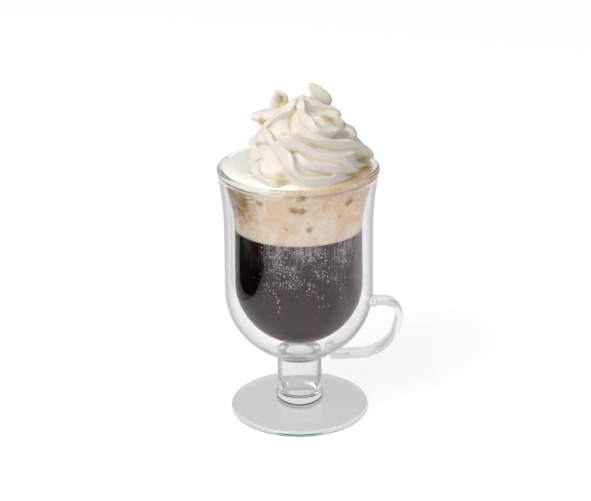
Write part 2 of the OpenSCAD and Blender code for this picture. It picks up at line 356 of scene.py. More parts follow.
def wall_curve(belly, base, round_z, waist, top_r, flare_power):
    """One side of a blown wall: an elliptic bottom, a soft waist and a flare to the lip."""
    bottom = [(belly * math.sin(a), round_z - (round_z - base) * math.cos(a))
              for a in quarter(round_steps)]
    side = [(waist + (belly - waist) * (1 + math.cos(math.pi * s)) / 2,
             round_z + (waist_z - round_z) * s)
            for s in shares(wall_steps)]
    flare = [(waist + (top_r - waist) * s ** flare_power, waist_z + (lip_seat - waist_z) * s)
             for s in shares(wall_steps)]
    return bottom + side + flare


def inset(curve, wall):
    """The same curve, moved towards the inside by the wall's thickness."""
    moved = []
    for i, (r, z) in enumerate(curve):
        r1, z1 = curve[min(i + 1, len(curve) - 1)]
        r0, z0 = curve[max(i - 1, 0)]
        run = math.hypot(r1 - r0, z1 - z0)
        moved.append((max(r - wall * (z1 - z0) / run, 0), z + wall * (r1 - r0) / run))
    return moved


def arc(r, z, radius, start, end, steps=edge_steps):
    """Points of an arc about (r, z), with its angles in degrees from straight out."""
    angles = (math.radians(start + (end - start) * i / steps) for i in range(steps + 1))
    return [(r + radius * math.cos(a), z + radius * math.sin(a)) for a in angles]


shell_out = wall_curve(belly_r, shell_base, belly_z, waist_r, shell_top_r, shell_flare)
shell_in = inset(shell_out, shell_wall)
bowl_out = wall_curve(bowl_r, bowl_base, bowl_belly_z, bowl_waist_r, bowl_top_r, bowl_flare)
bowl_in = inset(bowl_out, bowl_wall)


def shell_under(r):
    """The height of the shell's underside at this distance from the axis."""
    return belly_z - (belly_z - shell_base) * math.sqrt(1 - (r / belly_r) ** 2)


stem_swelling = (
    [(swell_r - seat_inset * (1 - math.sin(a)), foot_t + swell_h * (1 - math.cos(a)))
     for a in quarter(edge_steps)]
    + [(stem_r + (swell_r - stem_r) * (1 + math.cos(math.pi * s)) / 2,
        foot_t + swell_h + swell_ease * s)
       for s in shares(edge_steps)])
seat_ease = 0.35 * MM
seat_r = swell_r - seat_inset
stem_swelling = [p for p in stem_swelling if p[1] > foot_t + seat_ease]
stem_fillet = 1.2 * MM
fillet_end = 0.3 * MM
fillet_top = (stem_r + stem_fillet, shell_under(stem_r + stem_fillet))
stem_top = [(stem_r + stem_fillet * aside, fillet_top[1] - stem_fillet * down)
            for aside, down in ((0, 1.6), (0.3, 0.55), (1, 0))]
lip = [(r, mug_h - lip_rise + z * lip_rise / lip_r)
       for r, z in arc(rim_r - lip_r, 0, lip_r, -60, 180, 24)]
# From the middle of the foot's underside out, up the shell, over the lip and down the bowl
skin = (
    [(0, 0), (foot_r - foot_t / 2, 0)]
    + arc(foot_r - foot_t / 2, foot_t / 2, foot_t / 2, -85, 90)
    + [(foot_r - foot_t / 2 - seat_ease, foot_t), (seat_r + 2 * seat_ease, foot_t)]
    + arc(seat_r + seat_ease, foot_t + seat_ease, seat_ease, 270, 200, 6)
    + stem_swelling + stem_top
    + [p for p in shell_out if p[0] > fillet_top[0] + fillet_end or p[1] > belly_z]
    + lip
    + [p for p in reversed(bowl_in) if p[1] < mug_h - 2 * lip_r])

gap_top_r = (shell_in[-1][0] + bowl_out[-1][0]) / 2
between_walls = (
    [p for p in shell_in if p[1] < walls_end]
    + [(gap_top_r, gap_top)]
    + [p for p in reversed(bowl_out) if p[1] < walls_end])

hollow_r = stem_r - stem_wall
hollow_floor = foot_t + stem_floor
top_round = 3 * MM
stem_roof = 0.5 * MM
hollow_top = shell_under(hollow_r - top_round) - stem_roof
in_stem = (
    [(hollow_r * math.sin(a), hollow_floor + hollow_r / 2 * (1 - math.cos(a)))
     for a in quarter(edge_steps)]
    + [(hollow_r - top_round * (1 - math.sin(a)), hollow_top - top_round * (1 - math.cos(a)))
       for a in quarter(edge_steps)[:0:-1]]
    + [(hollow_r * s, shell_under(hollow_r * s) - stem_roof) for s in (0.6, 0.4, 0.2, 0)])


def turned(outlines, steps=144):
    """A skin of revolution for each outline, which starts and ends on the axis. The first
    faces outwards and the others, which are hollows, face into themselves."""
    points, faces = [], []
    for number, outline in enumerate(outlines):
        signed = sum((z1 - z0) * (r0 + r1) ** 2 for (r0, z0), (r1, z1)
                     in zip(outline, outline[1:]))
        if (signed < 0) == (number == 0):
            outline = list(reversed(outline))
        first = len(points)
        points.append((0, 0, outline[0][1]))
        rings = outline[1:-1]
        for r, z in rings:
            points += [(r * math.cos(2 * math.pi * j / steps),
                        r * math.sin(2 * math.pi * j / steps), z) for j in range(steps)]
        points.append((0, 0, outline[-1][1]))
        last = len(points) - 1
        for j in range(steps):
            k = (j + 1) % steps
            faces.append((first, first + 1 + k, first + 1 + j))
            for i in range(len(rings) - 1):
                a = first + 1 + i * steps
                faces.append((a + j, a + k, a + steps + k, a + steps + j))
            a = first + 1 + (len(rings) - 1) * steps
            faces.append((a + j, a + k, last))
    return points, faces


def closed_mesh(name, points, faces):
    mesh = bpy.data.meshes.new(name)
    mesh.from_pydata(points, [], faces)
    mesh.validate()
    mesh.shade_smooth()
    return mesh


mug = stand("mug_glass", closed_mesh("mug_glass", *turned([skin, between_walls, in_stem])))

# The handle's strap: one flattened cane on a line of an upper arm, a corner, a leaning grip,
# a wide bend and a lower arm that turns up into the shell. Both roots flare where they fuse.
strap_w = 9 * MM
strap_t = 3.8 * MM
corner_r = 8.5 * MM
bend_r = 21.1 * MM
grip_lean = math.radians(12.2)
arm_fall = math.radians(3.2)
root_r = 3 * MM
root_flare = 0.9 * MM
flare_len = 2.6 * MM
flare_steps = 8
root_depth = 4 * MM
root_gap = 2.6 * MM
upper_z = shell_base + 31.3 * MM
lower_z = shell_base - 0.7 * MM
root_mid = stem_r + root_gap + strap_t / 2
reach = high["handle"].x
grip_out = Vector((math.cos(grip_lean), -math.sin(grip_lean)))
grip_down = Vector((-math.sin(grip_lean), -math.cos(grip_lean)))
arm_up = Vector((-math.sin(arm_fall), math.cos(arm_fall)))
corner_at = Vector((reach - strap_t / 2 - corner_r, upper_z - corner_r))
bend_guess = corner_at + (corner_r - bend_r) * grip_out
bend_slide = ((bend_r - (bend_guess - Vector((root_mid, lower_z))).dot(arm_up))
              / grip_down.dot(arm_up))
bend_at = bend_guess + bend_slide * grip_down
root_at = Vector((root_mid + root_r,
                  lower_z + root_r / math.cos(arm_fall) + root_r * math.tan(arm_fall)))
arm_root_x = belly_r * math.sqrt(1 - ((belly_z - upper_z) / (belly_z - shell_base)) ** 2)
root_top = shell_under(root_mid + strap_t / 2)


def swept_bend(centre, radius, start, end, steps=24):
    """Stations along a bend, each with its centre, radius, angle and flare."""
    return [(centre, radius, start + (end - start) * i / steps, 0) for i in range(steps + 1)]


eases = [0] + shares(flare_steps)
upper_root = [(Vector((arm_root_x + flare_len * s, corner_at.y)), corner_r, math.pi / 2,
               root_flare * (1 + math.cos(math.pi * s)) / 2) for s in eases]
lower_root = [(Vector((root_at.x, root_at.y + (root_top - root_at.y) * s)), root_r, -math.pi,
               root_flare * (1 - math.cos(math.pi * s)) / 2) for s in eases[1:]]
stations = (
    [(Vector((arm_root_x - root_depth, corner_at.y)), corner_r, math.pi / 2, root_flare)]
    + upper_root
    + swept_bend(corner_at, corner_r, math.pi / 2, -grip_lean)
    + swept_bend(bend_at, bend_r, -grip_lean, arm_fall - math.pi / 2)
    + swept_bend(root_at, root_r, arm_fall - math.pi / 2, -math.pi)
    + lower_root
    + [(Vector((root_at.x, root_top + root_depth)), root_r, -math.pi, root_flare)])
side_steps = 12
cane_points = []
for centre, radius, angle, flared in stations:
    edge_r = strap_t / 2 + flared
    flat = (strap_w - strap_t) / 2
    for side in (1, -1):
        for i in range(side_steps + 1):
            a = math.pi * i / side_steps
            r = radius + side * edge_r * math.cos(a)
            cane_points.append((centre.x + r * math.cos(angle),
                                side * (flat + edge_r * math.sin(a)),
                                centre.y + r * math.sin(angle)))
ring = 2 * (side_steps + 1)
cane_faces = [(i * ring + j, i * ring + (j + 1) % ring,
               (i + 1) * ring + (j + 1) % ring, (i + 1) * ring + j)
              for i in range(len(stations) - 1) for j in range(ring)]
cane_faces += [tuple(range(ring - 1, -1, -1)),
               tuple(len(cane_points) - ring + j for j in range(ring))]
cane = stand("cane", closed_mesh("cane", cane_points, cane_faces))

# The vent tip: a small bead under the shell, beside the handle's lower root. Here the hole that
# let air out of the double wall was melted shut.
vent_r = 1.4 * MM
vent_turn = math.radians(-36)
vent_gap = 2.6 * MM
vent_drop = 0.1 * MM
vent_at = Matrix.Rotation(vent_turn, 3, "Z") @ Vector((stem_r + vent_gap + vent_r, 0, 0))
vent_at.z = shell_under(vent_at.length) - vent_drop
vent_mesh = bpy.data.meshes.new("vent")
builder = bmesh.new()
bmesh.ops.create_uvsphere(builder, u_segments=24, v_segments=16, radius=vent_r,
                          matrix=Matrix.Translation(vent_at))
builder.to_mesh(vent_mesh)
builder.free()
vent = stand("vent", vent_mesh)


def settle(piece):
    """Makes what a piece's modifiers give its plain mesh."""
    depsgraph = bpy.context.evaluated_depsgraph_get()
    made = bpy.data.meshes.new_from_object(piece.evaluated_get(depsgraph))
    piece.modifiers.clear()
    before = piece.data
    piece.data = made
    bpy.data.meshes.remove(before)
    made.name = piece.name
    return made


def cut(piece, tool, operation):
    """Fuses tool to piece, or takes it off piece, and removes tool."""
    step = piece.modifiers.new(operation.lower(), "BOOLEAN")
    step.operation = operation
    step.solver = "EXACT"
    step.object = tool
    settle(piece)
    bpy.data.objects.remove(tool)


# Cane and vent are cut off at the middle of the shell's wall, so that they don't reach the gap
mid_wall = inset(shell_out, shell_wall / 2)
core_outline = [p for p in mid_wall if p[1] < walls_end]
core_outline.append((0, core_outline[-1][1]))
for added in (cane, vent):
    core = stand("core", closed_mesh("core", *turned([core_outline])))
    cut(added, core, "DIFFERENCE")
    cut(mug, added, "UNION")
sharp_turn = math.radians(32)
mug.data.shade_smooth()
mug.data.set_sharp_from_angle(angle=sharp_turn)

# The glass's finish: clear, with the faint ripples of blown glass, and a little greyer where it
# is thick, in the foot, the stem and the handle. The foot's grey is partly painted shade for the
# dim table under it.
glass_ior = 1.47
glass_wall = (1, 1, 1)
glass_stem = (0.925, 0.927, 0.928)
glass_handle = (0.90, 0.902, 0.903)
foot_tint_and_shade = (0.815, 0.815, 0.815)
glass_tint = (0.84, 0.88, 0.885)
glass_density = 25
ripple_scale = 70
ripple_depth = 0.3 * MM
# Where light has been mirrored four times inside the glass, it glows an even grey by its
# Fresnel share: a painted glow for the light trapped there
mirrored_often = 4
trapped_glow_grey = (0.90, 0.90, 0.90)
# What the handle mirrors inside itself, at a Fresnel share of this or more, is mostly painted
# over with one glowing grey, a painted reflection
full_mirror = 0.9
handle_evenness = 0.65
handle_glow_grey = (0.72, 0.72, 0.72)
glass = Finish(bpy.data.materials.new("clear_glass"))
ripple = glass.noise(glass.place(), ripple_scale, detail=1)
ripple_bump = glass.node("ShaderNodeBump", None,
                         {"Strength": 0.08, "Distance": ripple_depth, "Height": ripple})
sideways, _, upward = glass.axes()
# The foot is greyer than the stem, partly as painted shade from the table under it
clearness = glass.blend(upward.above(foot_t, foot_t + 1 * MM), foot_tint_and_shade, glass_stem)
clearness = glass.blend(upward.above(shell_base - 2 * MM, shell_base), clearness, glass_wall)
# The handle is beyond the shell or under it, over the foot and up to a little over its arm
arm_edge = 5 * MM
beyond_shell = (sideways - belly_r).above(1 * MM, 2 * MM)
under_shell = ((lower_z + arm_edge - upward).above(0, 2 * MM)
               * (sideways - stem_r).above(4 * MM, 6 * MM))
below_top = (upper_z + arm_edge - upward).above(0, 2 * MM)
on_handle = beyond_shell.larger(under_shell) * upward.above(2 * foot_t, 3 * foot_t) * below_top
clearness = glass.blend(on_handle, clearness, glass_handle)
often = glass.path("Glossy Depth").near(mirrored_often, 0.5)
held_back = glass.node("ShaderNodeFresnel", None, {"IOR": glass_ior})
# Painted glow: the glass emits this grey where light is trapped inside it
trapped_glow = glass.blend(often * held_back, (0, 0, 0), trapped_glow_grey)
body = glass.node("ShaderNodeBsdfPrincipled", None, {
    "Emission Color": trapped_glow, "Emission Strength": 1,
    "Base Color": clearness, "Roughness": 0.0, "IOR": glass_ior,
    "Transmission Weight": 1, "Normal": ripple_bump})
mirrored_inside = (on_handle * glass.counted("Transmission")
                   * held_back.above(full_mirror, 1) * handle_evenness)
# The painted reflection inside the handle: an even glowing grey
handle_painted_glow = glass.node("ShaderNodeEmission", None, {"Color": handle_glow_grey})
body = glass.node("ShaderNodeMixShader", None, {0: mirrored_inside, 1: body, 2: handle_painted_glow})
haze = glass.node("ShaderNodeVolumeAbsorption", None,
                  {"Color": glass_tint, "Density": glass_density})
mug.data.materials.append(glass.end(body, haze))
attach(mug, "root")
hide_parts(*glass_nodes)


# The coffee: fills the bowl and wets the glass, so that it is seen out to the bowl's outer
# wall. It is made a little larger than the hollow, to leave no film of air in between.
wetting = 0.3 * MM
coffee_top = high["coffee"].z
drink_side = inset(bowl_out, bowl_wall - wetting)
surface_gap = 0.2 * MM
coffee_outline = [p for p in drink_side if p[1] < coffee_top - surface_gap]
coffee_edge_r = coffee_outline[-1][0]
coffee_outline += [(coffee_edge_r, coffee_top), (0, coffee_top)]
coffee_outline[0] = (0, coffee_outline[0][1])
coffee = stand("coffee_fill", closed_mesh("coffee_fill", *turned([coffee_outline])))
coffee_black = (0.006, 0.003, 0.0025)
coffee_veil = (0.038, 0.009, 0.015)
coffee_streak = (0.35, 0.31, 0.315)
coffee_olive = (0.16, 0.125, 0.095)
coffee_rust = (0.10, 0.03, 0.012)
veil_depth = 19 * MM
# From left to right of the coffee's middle: a rusty tinge begins, the painted reflection of the
# dark card, where the coffee stays black, ends, pale strands begin, and an olive tinge begins
rust_from = -28 * MM
patch_end = -17.5 * MM
strands_from = 6 * MM
olive_from = 16 * MM
brew = Finish(bpy.data.materials.new("coffee"))
x, y, z = brew.axes()
under = coffee_top - z
mottle = brew.noise(brew.place((1, 1, 0.4)), 110, detail=4, roughness=0.6).above(0.38, 0.66)
strands = brew.noise(brew.place((1, 1, 0.07)), 900, detail=2, roughness=0.7).above(0.45, 0.60)
fine_strands = brew.noise(brew.place((1, 1, 0.14)), 1500, detail=2, roughness=0.6)
fine_strands = fine_strands.above(0.48, 0.72)
# Left of here the coffee stays black, as a painted reflection of the dark card
past_card_reflection = (x - patch_end).above(-3 * MM, 2 * MM)
colour = brew.blend(past_card_reflection * (0.1 + 0.9 * mottle), coffee_black, coffee_veil)
colour = brew.blend((x - olive_from).above(0, 12 * MM) * mottle, colour, coffee_olive)
near_top = 1 - under.above(0, veil_depth)
colour = brew.blend(near_top * strands * (0.15 + 0.85 * past_card_reflection), colour, coffee_streak)
fine_share = 0.14 + 0.26 * (x - strands_from).above(0, 12 * MM)
fine_share = fine_share * (1 - under.above(15 * MM, 60 * MM))
colour = brew.blend(fine_strands * fine_share * past_card_reflection, colour, coffee_streak)
rust = (1 - past_card_reflection) * (x - rust_from).above(0, 4 * MM) * (1 - under.above(3 * MM, 12 * MM))
colour = brew.blend(rust * fine_strands, colour, coffee_rust)
dark = brew.node("ShaderNodeBsdfPrincipled", None, {
    "Base Color": colour, "Roughness": 0.12, "IOR": 1.33, "Specular IOR Level": 0.05})
coffee.data.materials.append(brew.end(dark))
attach(coffee, "root")
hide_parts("coffee")


# The bubbles: small pockets of air under the cream, held against the bowl's wall. They crowd
# below the cream at the front and thin out downwards.
bubble_r = 0.36 * MM
bubble_least, bubble_most = 0.4, 1.25
bubbles_per_m2 = 1500000.0
# They thin out downwards between these depths, to both sides between these widths, and to the
# left between these places. This share of them stays at the sides.
thin_from, thin_to, thin_power = 2 * MM, 44 * MM, 1.6
front_from, front_to = 9 * MM, 30 * MM
left_from, left_to = -23 * MM, -15 * MM
side_share = 0.12
# None is on the coffee's top
surface_from, surface_to = 0.4 * MM, 0.8 * MM
bubble_field = bpy.data.node_groups.new("bubbles", "GeometryNodeTree")
bubble_field.interface.new_socket("Geometry", in_out="INPUT", socket_type="NodeSocketGeometry")
bubble_field.interface.new_socket("Geometry", in_out="OUTPUT", socket_type="NodeSocketGeometry")
bubble_inputs = {}
for name, value in (("Radius", bubble_r), ("Density", bubbles_per_m2), ("Top", coffee_top)):
    entry = bubble_field.interface.new_socket(name, in_out="INPUT", socket_type="NodeSocketFloat")
    bubble_inputs[entry.identifier] = value


class Field(Finish):
    """A tree of Geometry Nodes, whose sums are written in the same way."""
    def __init__(self, tree):
        self.tree = tree

    def given(self, name):
        return self.node("NodeGroupInput", out=name)


field = Field(bubble_field)
where = field.node("GeometryNodeInputPosition")
across = field.node("ShaderNodeSeparateXYZ", None, {0: where}, "X")
below = field.given("Top") - field.node("ShaderNodeSeparateXYZ", None, {0: where}, "Z")
thinning = 1 - below.above(thin_from, thin_to)
clusters = field.noise(where, 130, detail=2).above(0.40, 0.64)
crowd = thinning ** thin_power * clusters * below.above(surface_from, surface_to)
in_front = 1 - across.size().above(front_from, front_to)
off_left = across.above(left_from, left_to)
crowd = crowd * ((side_share + in_front) * (side_share + off_left))
spread = field.node("GeometryNodeDistributePointsOnFaces", None, {
    "Mesh": field.given("Geometry"), "Density": field.given("Density") * crowd, "Seed": 7})
bead = field.node("GeometryNodeMeshIcoSphere", None,
                  {"Radius": field.given("Radius"), "Subdivisions": 2})
size = field.node("FunctionNodeRandomValue", {"data_type": "FLOAT"},
                  {2: bubble_least, 3: bubble_most, "Seed": 3}, 1)
beads = field.node("GeometryNodeInstanceOnPoints", None,
                   {"Points": spread, "Instance": bead, "Scale": size})
beads = field.node("GeometryNodeRealizeInstances", None, {"Geometry": beads})
beads = field.node("GeometryNodeSetShadeSmooth", None, {"Geometry": beads})
froth_dark, froth_pale = (0.36, 0.32, 0.30), (0.72, 0.69, 0.66)
froth = Finish(bpy.data.materials.new("bubbles"))
grain = froth.noise(froth.place(), 900, detail=2)
pale = froth.node("ShaderNodeBsdfPrincipled", None, {
    "Base Color": froth.blend(grain.above(0.3, 0.7), froth_dark, froth_pale),
    "Roughness": 0.3})
froth.end(pale)
beads = field.node("GeometryNodeSetMaterial", None, {"Geometry": beads, "Material": froth.owner})
field.node("NodeGroupOutput", None, {"Geometry": beads})
bubbles = stand("bubbles", coffee.data.copy())
blowing = bubbles.modifiers.new("bubbles", "NODES")
blowing.node_group = bubble_field
for identifier, value in bubble_inputs.items():
    blowing[identifier] = value
settle(bubbles)
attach(bubbles, "root")


# The cream layer: loose cream, poured on the coffee up to the brim, with a crowned top. Coffee
# has risen in it and stained it where it meets the glass.
crown_edge = 5.8 * MM
crown_from = mug_h - 1.8 * MM
crown_top = high["cream_layer"].z
cream_outline = (
    [(0, coffee_top), (coffee_edge_r, coffee_top)]
    + [p for p in drink_side if coffee_top + surface_gap < p[1] < walls_end]
    + [(mouth_r - crown_edge * (1 - math.cos(a)),
        crown_from + (crown_top - crown_from) * math.sin(a))
       for a in quarter(edge_steps)]
    + [(0, crown_top)])
cream = stand("cream_layer_fill", closed_mesh("cream_layer_fill", *turned([cream_outline])))
cream_pale = (0.91, 0.80, 0.67)
cream_tan = (0.85, 0.65, 0.46)
cream_caramel = (0.80, 0.56, 0.35)
cream_white = (0.95, 0.92, 0.88)
coffee_stain = (0.36, 0.185, 0.005)
# The right side is more sunk in coffee and the left side darker, from these places on
sunk_from, sunk_base = 2 * MM, 119 * MM
dark_from, dark_base = -16 * MM, 111 * MM
# The crown begins at the lip, and a little lower at the far left
crown_base = 138 * MM
crown_left = -12 * MM
stain_reach = 5 * MM
# How strongly the coffee colours the dark left side, the veins, the specks and the stains
dark_share, vein_share, speck_share, stain_share = 0.85, 0.15, 0.7, 0.92
# Middle of each stain on the cream's side and its size, in mm
cream_stains = (((-28, -24.2, 128.1), 5), ((-26.5, -25.6, 131.5), 3.6), ((-19.2, -31.6, 131), 3),
                ((1.6, -37.5, 136.3), 4), ((-2, -36.5, 128.2), 3.8), ((2, -36.5, 127.4), 3),
                ((-26.4, -24.5, 121), 2), ((5.4, -34.5, 116.2), 3), ((-25.6, -23.5, 113.2), 2.4),
                ((21.2, -28.5, 122.3), 2.2), ((24.9, -27, 129.2), 3.4), ((-7, -34, 117), 2))


def frayed(finish, scale):
    """Object coordinates, pushed about by noise, so that a spot on them has a frayed edge."""
    inputs = {"Vector": finish.place(), "Scale": scale, "Detail": 3}
    push = finish.node("ShaderNodeTexNoise", None, inputs, 1)
    inputs = {0: push, "Scale": stain_reach}
    push = finish.node("ShaderNodeVectorMath", {"operation": "SCALE"}, inputs)
    return finish.node("ShaderNodeVectorMath", {"operation": "ADD"}, {0: finish.place(), 1: push})


def spot(where, middle, size, full):
    """1 in the middle of a spot, up to this share of its size, and 0 outside it, in mm."""
    centre = tuple(c * MM + stain_reach / 2 for c in middle)
    inputs = {0: where, 1: centre}
    off = where.finish.node("ShaderNodeVectorMath", {"operation": "DISTANCE"}, inputs, 1)
    return 1 - (off / (size * MM)).above(full, 0.95)


foam = Finish(bpy.data.materials.new("stained_cream"))
x, y, z = foam.axes()
patches = foam.noise(foam.place(), 62, detail=4, roughness=0.6, distortion=1)
wisps = foam.noise(foam.place((1, 1, 1.6)), 160, detail=4, roughness=0.6, distortion=1.2)
veins = foam.noise(foam.place((1, 1, 1.4)), 230, detail=3, roughness=0.55, distortion=1.5)
specks = foam.noise(foam.place(), 640, detail=2)
colour = foam.blend(patches.above(0.38, 0.58), cream_tan, cream_pale)
sunk = (x - sunk_from).above(-4 * MM, 12 * MM) * (z - sunk_base).above(0, 12 * MM)
left_dark = ((dark_from - x).above(0, 12 * MM) * (z - dark_base).above(0, 12 * MM)
             * (-y).above(0, 10 * MM) * dark_share)
colour = foam.blend(sunk * wisps.above(0.35, 0.6), colour, cream_caramel)
colour = foam.blend(left_dark * wisps.above(0.35, 0.6), colour, coffee_stain)
thin = (1 - (veins - 0.5).size().above(0.008, 0.03)) * patches.above(0.35, 0.5)
colour = foam.blend(thin * vein_share, colour, coffee_stain)
speckled = specks.above(0.66, 0.72) * wisps.above(0.45, 0.6)
colour = foam.blend(speckled * speck_share, colour, coffee_stain)
frayed_place = frayed(foam, 320)
for middle, size in cream_stains:
    stain = spot(frayed_place, middle, size, 0.2)
    colour = foam.blend(stain * stain_share, colour, coffee_stain)
whiter = (4 * MM - x).above(-12 * MM, 12 * MM)
lowered = 3 * MM * (crown_left - x).above(0, 10 * MM)
crown = (z - crown_base + lowered).above(0, 1 * MM)
crown_colour = foam.blend(wisps.above(0.4, 0.62), cream_tan, cream_caramel)
crown_colour = foam.blend(whiter, crown_colour, cream_white)
colour = foam.blend(crown, colour, crown_colour)
skin_bump = foam.node("ShaderNodeBump", None, {
    "Strength": 0.5, "Distance": 0.5 * MM, "Height": wisps + 0.5 * specks})
tan = foam.node("ShaderNodeBsdfPrincipled", None, {
    "Base Color": colour, "Roughness": 0.5, "Normal": skin_bump})
cream.data.materials.append(foam.end(tan))
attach(cream, "root")
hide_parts("cream_layer")


# The whipped cream: piped through a star nozzle in three rising, narrowing turns, clockwise
# as seen from above, and drawn off to a peak. The nozzle's teeth left sharp flutes that wind
# down from the peak and lean over, and where it paused two fins curled into ears.
swirl_sunk = 2.5 * MM
swirl_seat = high["cream_layer"].z - swirl_sunk
swirl_rows, swirl_columns = 300, 480
# Half width of the swirl over its height above its sunken foot, both in mm
swirl_outline = np.array([
    (0, 29), (2.5, 31.5), (5.5, 33), (10.5, 33), (14.5, 31), (18.5, 28.5), (22.5, 26),
    (26.5, 22.5), (30.5, 16), (33.5, 10.5), (36.5, 6), (39, 0.4)])
swirl_h = swirl_outline[-1, 0]
swirl_middle = (6.4, -7.6)
peak_middle = (1.5, -3.0)
swirl_tiers = 3
swirl_groove = 3.4
swirl_flutes = 8
swirl_flute_depth = 6.4
swirl_flute_turn = math.radians(215)
swirl_lean = math.radians(6)
swirl_droop = 2.4
# Waves make the flutes uneven and let them wander: height, number per turn, start and climb
uneven_waves = ((0.22, 2, 1.1, 5), (0.16, 3, -2, -7))
wander_waves = ((0.35, 1, 0, 6), (0.22, 3, 2, 9))
# How rounded the valleys and the grooves between the turns are, and how both wind faster lower
valley_power, groove_power = 0.9, 2.5
flute_winding, groove_winding = 1.5, 0.85
groove_start = 0.4
# Shares of the height: the flutes fade out under the peak and grow full over the foot
peak_fade = 0.2
foot_fill = 0.22
foot_share = 0.35
least_width = 0.35
# The foot of the swirl is spread towards the front left and pressed in at the front right
swirl_spread = 0.1
swirl_spread_to = math.radians(225)
spread_height = 0.4
# At the front the body is smoother and a little further in, and carries the big ropes
swirl_front = math.radians(262)
front_height = 0.93
front_smoothing = 0.72
front_inset = 1.6


def smooth_course(course, steps):
    """The course's columns at even steps, on a smooth curve through its rows."""
    way = np.linspace(0, 1, steps)
    knots = course[:, 0]
    columns = []
    for column in course[:, 1:].T:
        slope = np.gradient(column, knots)
        i = np.clip(np.searchsorted(knots, way, "right") - 1, 0, len(knots) - 2)
        span = knots[i + 1] - knots[i]
        t = (way - knots[i]) / span
        columns.append((2 * t**3 - 3 * t**2 + 1) * column[i]
                       + (t**3 - 2 * t**2 + t) * span * slope[i]
                       + (3 * t**2 - 2 * t**3) * column[i + 1]
                       + (t**3 - t**2) * span * slope[i + 1])
    return way, columns


def ramp(values, low_end, high_end):
    """0 under the low end, 1 over the high end, and straight between them."""
    return np.clip((values - low_end) / (high_end - low_end), 0, 1)


def waved(level, waves, turn, way):
    """The level with waves on it."""
    for height, number, start, climb in waves:
        level = level + height * np.sin(number * turn + start + climb * way)
    return level


def rings_closed(count, sides):
    """The faces of a tube of rings, with both ends closed."""
    faces = [(i * sides + j, i * sides + (j + 1) % sides,
              (i + 1) * sides + (j + 1) % sides, (i + 1) * sides + j)
             for i in range(count - 1) for j in range(sides)]
    return faces + [tuple(range(sides - 1, -1, -1)),
                    tuple((count - 1) * sides + j for j in range(sides))]


def swept(centres, radii_at, outs, ups):
    """A closed tube of rings: at each centre, radii_at gives every side's distance."""
    count, sides = radii_at.shape
    a = np.linspace(0, 2 * np.pi, sides, endpoint=False)
    rings = (centres[:, None] + radii_at[..., None]
             * (np.cos(a)[None, :, None] * outs[:, None] + np.sin(a)[None, :, None] * ups[:, None]))
    return [tuple(p) for p in rings.reshape(-1, 3)], rings_closed(count, sides)


def unit(vectors):
    return vectors / np.linalg.norm(vectors, axis=-1, keepdims=True)


def piped_body():
    """The fluted swirl as rows of points from the seat to the peak."""
    rise = swirl_outline[:, 0] / swirl_h
    way, (across,) = smooth_course(np.column_stack([rise, swirl_outline[:, 1]]), swirl_rows)
    way = way[:, None]
    turn = np.linspace(0, 2 * np.pi, swirl_columns, endpoint=False)[None, :]
    fade = ramp(1 - way, 0, peak_fade)
    uneven = waved(1, uneven_waves, turn, way)
    wander = waved(0, wander_waves, turn, way)
    wound = swirl_flute_turn * (1 - way) ** flute_winding
    phase = swirl_flutes / 2 * (turn - wound) + wander
    valley = np.abs(np.sin(phase)) ** valley_power
    ridge = 1 - valley
    climb = np.pi * swirl_tiers * way ** groove_winding
    tier = np.abs(np.cos(climb - turn / 2 + groove_start)) ** groove_power
    full_foot = foot_share + (1 - foot_share) * ramp(way, 0, foot_fill)
    low_down = 1 - ramp(way, 0, spread_height)
    spread = 1 + swirl_spread * np.cos(2 * (turn - swirl_spread_to)) * low_down
    carved = swirl_groove * tier + swirl_flute_depth * uneven * valley
    front = ramp(np.cos(turn - swirl_front), -0.3, 0.5) * ramp(front_height - way, 0, 0.1)
    carved = carved * (1 - front_smoothing * front) + front_inset * front
    r = across[:, None] * spread - fade * full_foot * carved
    r = np.maximum(r, across[:, None] * least_width)
    place = turn - swirl_lean * ridge * fade
    mid = [foot + (peak - foot) * way for foot, peak in zip(swirl_middle, peak_middle)]
    z = swirl_h * way - swirl_droop * ridge ** 2 * fade * ramp(way, 0, 0.1)
    rings = np.stack([mid[0] + r * np.cos(place), mid[1] + r * np.sin(place),
                      swirl_seat / MM + z + 0 * turn], -1)
    return [tuple(p) for p in rings.reshape(-1, 3)], rings_closed(swirl_rows, swirl_columns)


swirl_parts = [piped_body()]


def leaf(through, widths, thicknesses, wide, edge=2, rings=40, sides=24):
    """A curled fin through a few places, all in mm: widths run along wide, and an edge of 2
    makes its section an ellipse, a smaller one a lens with two sharp crests."""
    course = np.column_stack([np.linspace(0, 1, len(through)), through, widths, thicknesses])
    _, (x, y, z, w, t) = smooth_course(course, rings)
    mids = np.stack([x, y, z], -1)
    along = unit(np.gradient(mids, axis=0))
    across = unit(np.array(wide)[None] - (along @ np.array(wide))[:, None] * along)
    a = np.linspace(0, 2 * np.pi, sides, endpoint=False)
    reach = (np.abs(np.cos(a) / w[:, None]) ** edge
             + np.abs(np.sin(a) / t[:, None]) ** edge) ** (-1 / edge)
    return swept(mids, reach, across, np.cross(along, across))


